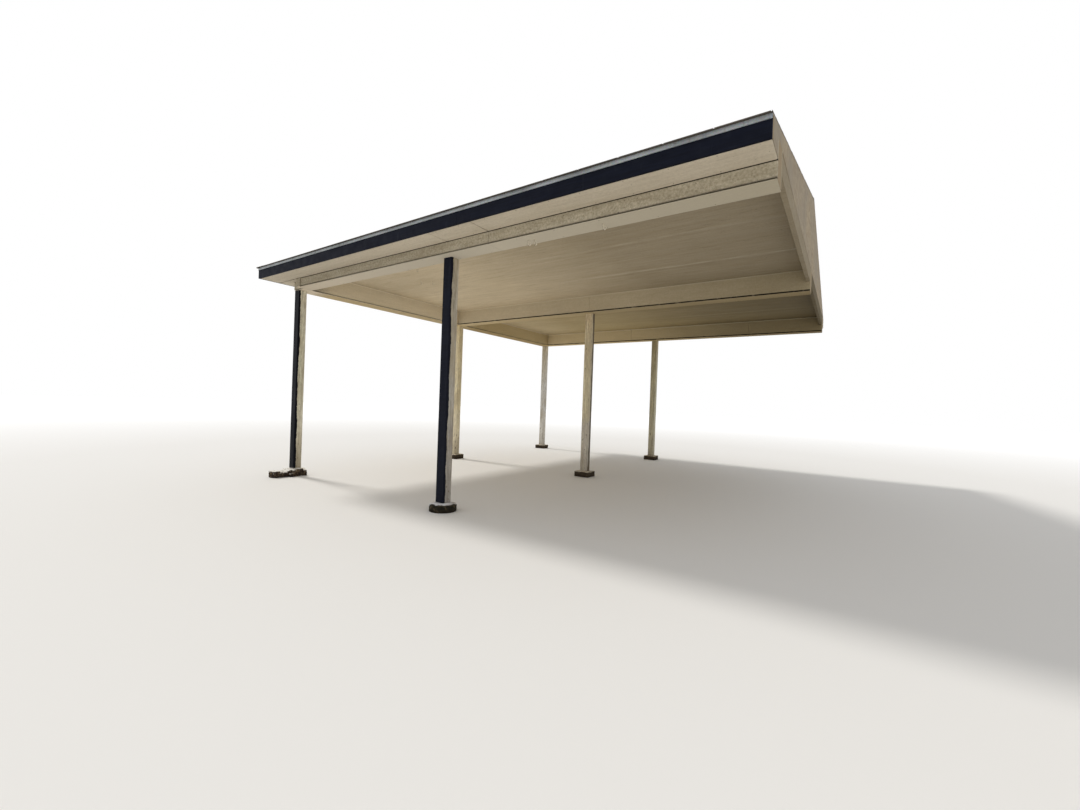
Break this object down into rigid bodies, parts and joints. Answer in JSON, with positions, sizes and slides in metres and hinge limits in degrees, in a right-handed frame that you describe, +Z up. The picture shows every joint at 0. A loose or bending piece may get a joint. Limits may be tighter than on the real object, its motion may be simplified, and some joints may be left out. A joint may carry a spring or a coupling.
{
  "type": "attached carport",
  "caption": "Open timber carport beside a house: square posts on concrete footings, boxed beams, flat ceiling and soffits, dark fascia and a low hipped roof.",
  "frame": {"origin": "on the ground under the middle of the roof's outline", "axes": "+X towards the house wall, +Y from the front to the back, +Z up"},
  "size_m": [6.099, 6.694, 3.5988],
  "materials": {
    "concrete": "rough cast concrete, weathered",
    "front_post_paint": "brushed navy paint on the front face, cream on the others",
    "post_paint": "old cream paint",
    "beam_paint": "old beige paint on rough boards",
    "ceiling_paint": "old beige paint on smooth board",
    "navy_paint": "navy paint, satin",
    "edge_metal": "dull zinc",
    "shingle": "mineral granules on asphalt",
    "board": "raw sheathing board",
    "timber": "raw softwood"
  },
  "bodies": {
    "root": {"beam_back": "timber", "beam_front": "timber", "beam_mid": "timber", "beam_outer": "timber", "casing_back": "beam_paint", "casing_front": "beam_paint", "casing_mid": "beam_paint", "casing_outer": "beam_paint", "ceiling_back": "ceiling_paint", "ceiling_front": "ceiling_paint", "ceiling_joists": "timber", "drip_edge": "edge_metal", "end_sheathing": "board", "fascia_back": "navy_paint", "fascia_front": "navy_paint", "fascia_outer": "navy_paint", "footing_back_inner": "concrete", "footing_back_outer": "concrete", "footing_front_inner": "concrete", "footing_front_outer": "concrete", "footing_mid_inner": "concrete", "footing_mid_outer": "concrete", "hip_and_ridge_caps": "shingle", "hip_rafters": "timber", "post_back_inner": "post_paint", "post_back_outer": "post_paint", "post_front_inner": "front_post_paint", "post_front_outer": "front_post_paint", "post_mid_inner": "post_paint", "post_mid_outer": "post_paint", "rafters": "timber", "ridge_board": "timber", "ridge_struts": "timber", "roof_deck_back": "board", "roof_deck_front": "board", "roof_deck_outer": "board", "shingles_back": "shingle", "shingles_front": "shingle", "shingles_outer": "shingle", "soffit_back": "ceiling_paint", "soffit_front": "ceiling_paint", "soffit_outer": "ceiling_paint", "sub_fascia": "timber", "wall_ledger": "ceiling_paint"}
  },
  "joints": []
}
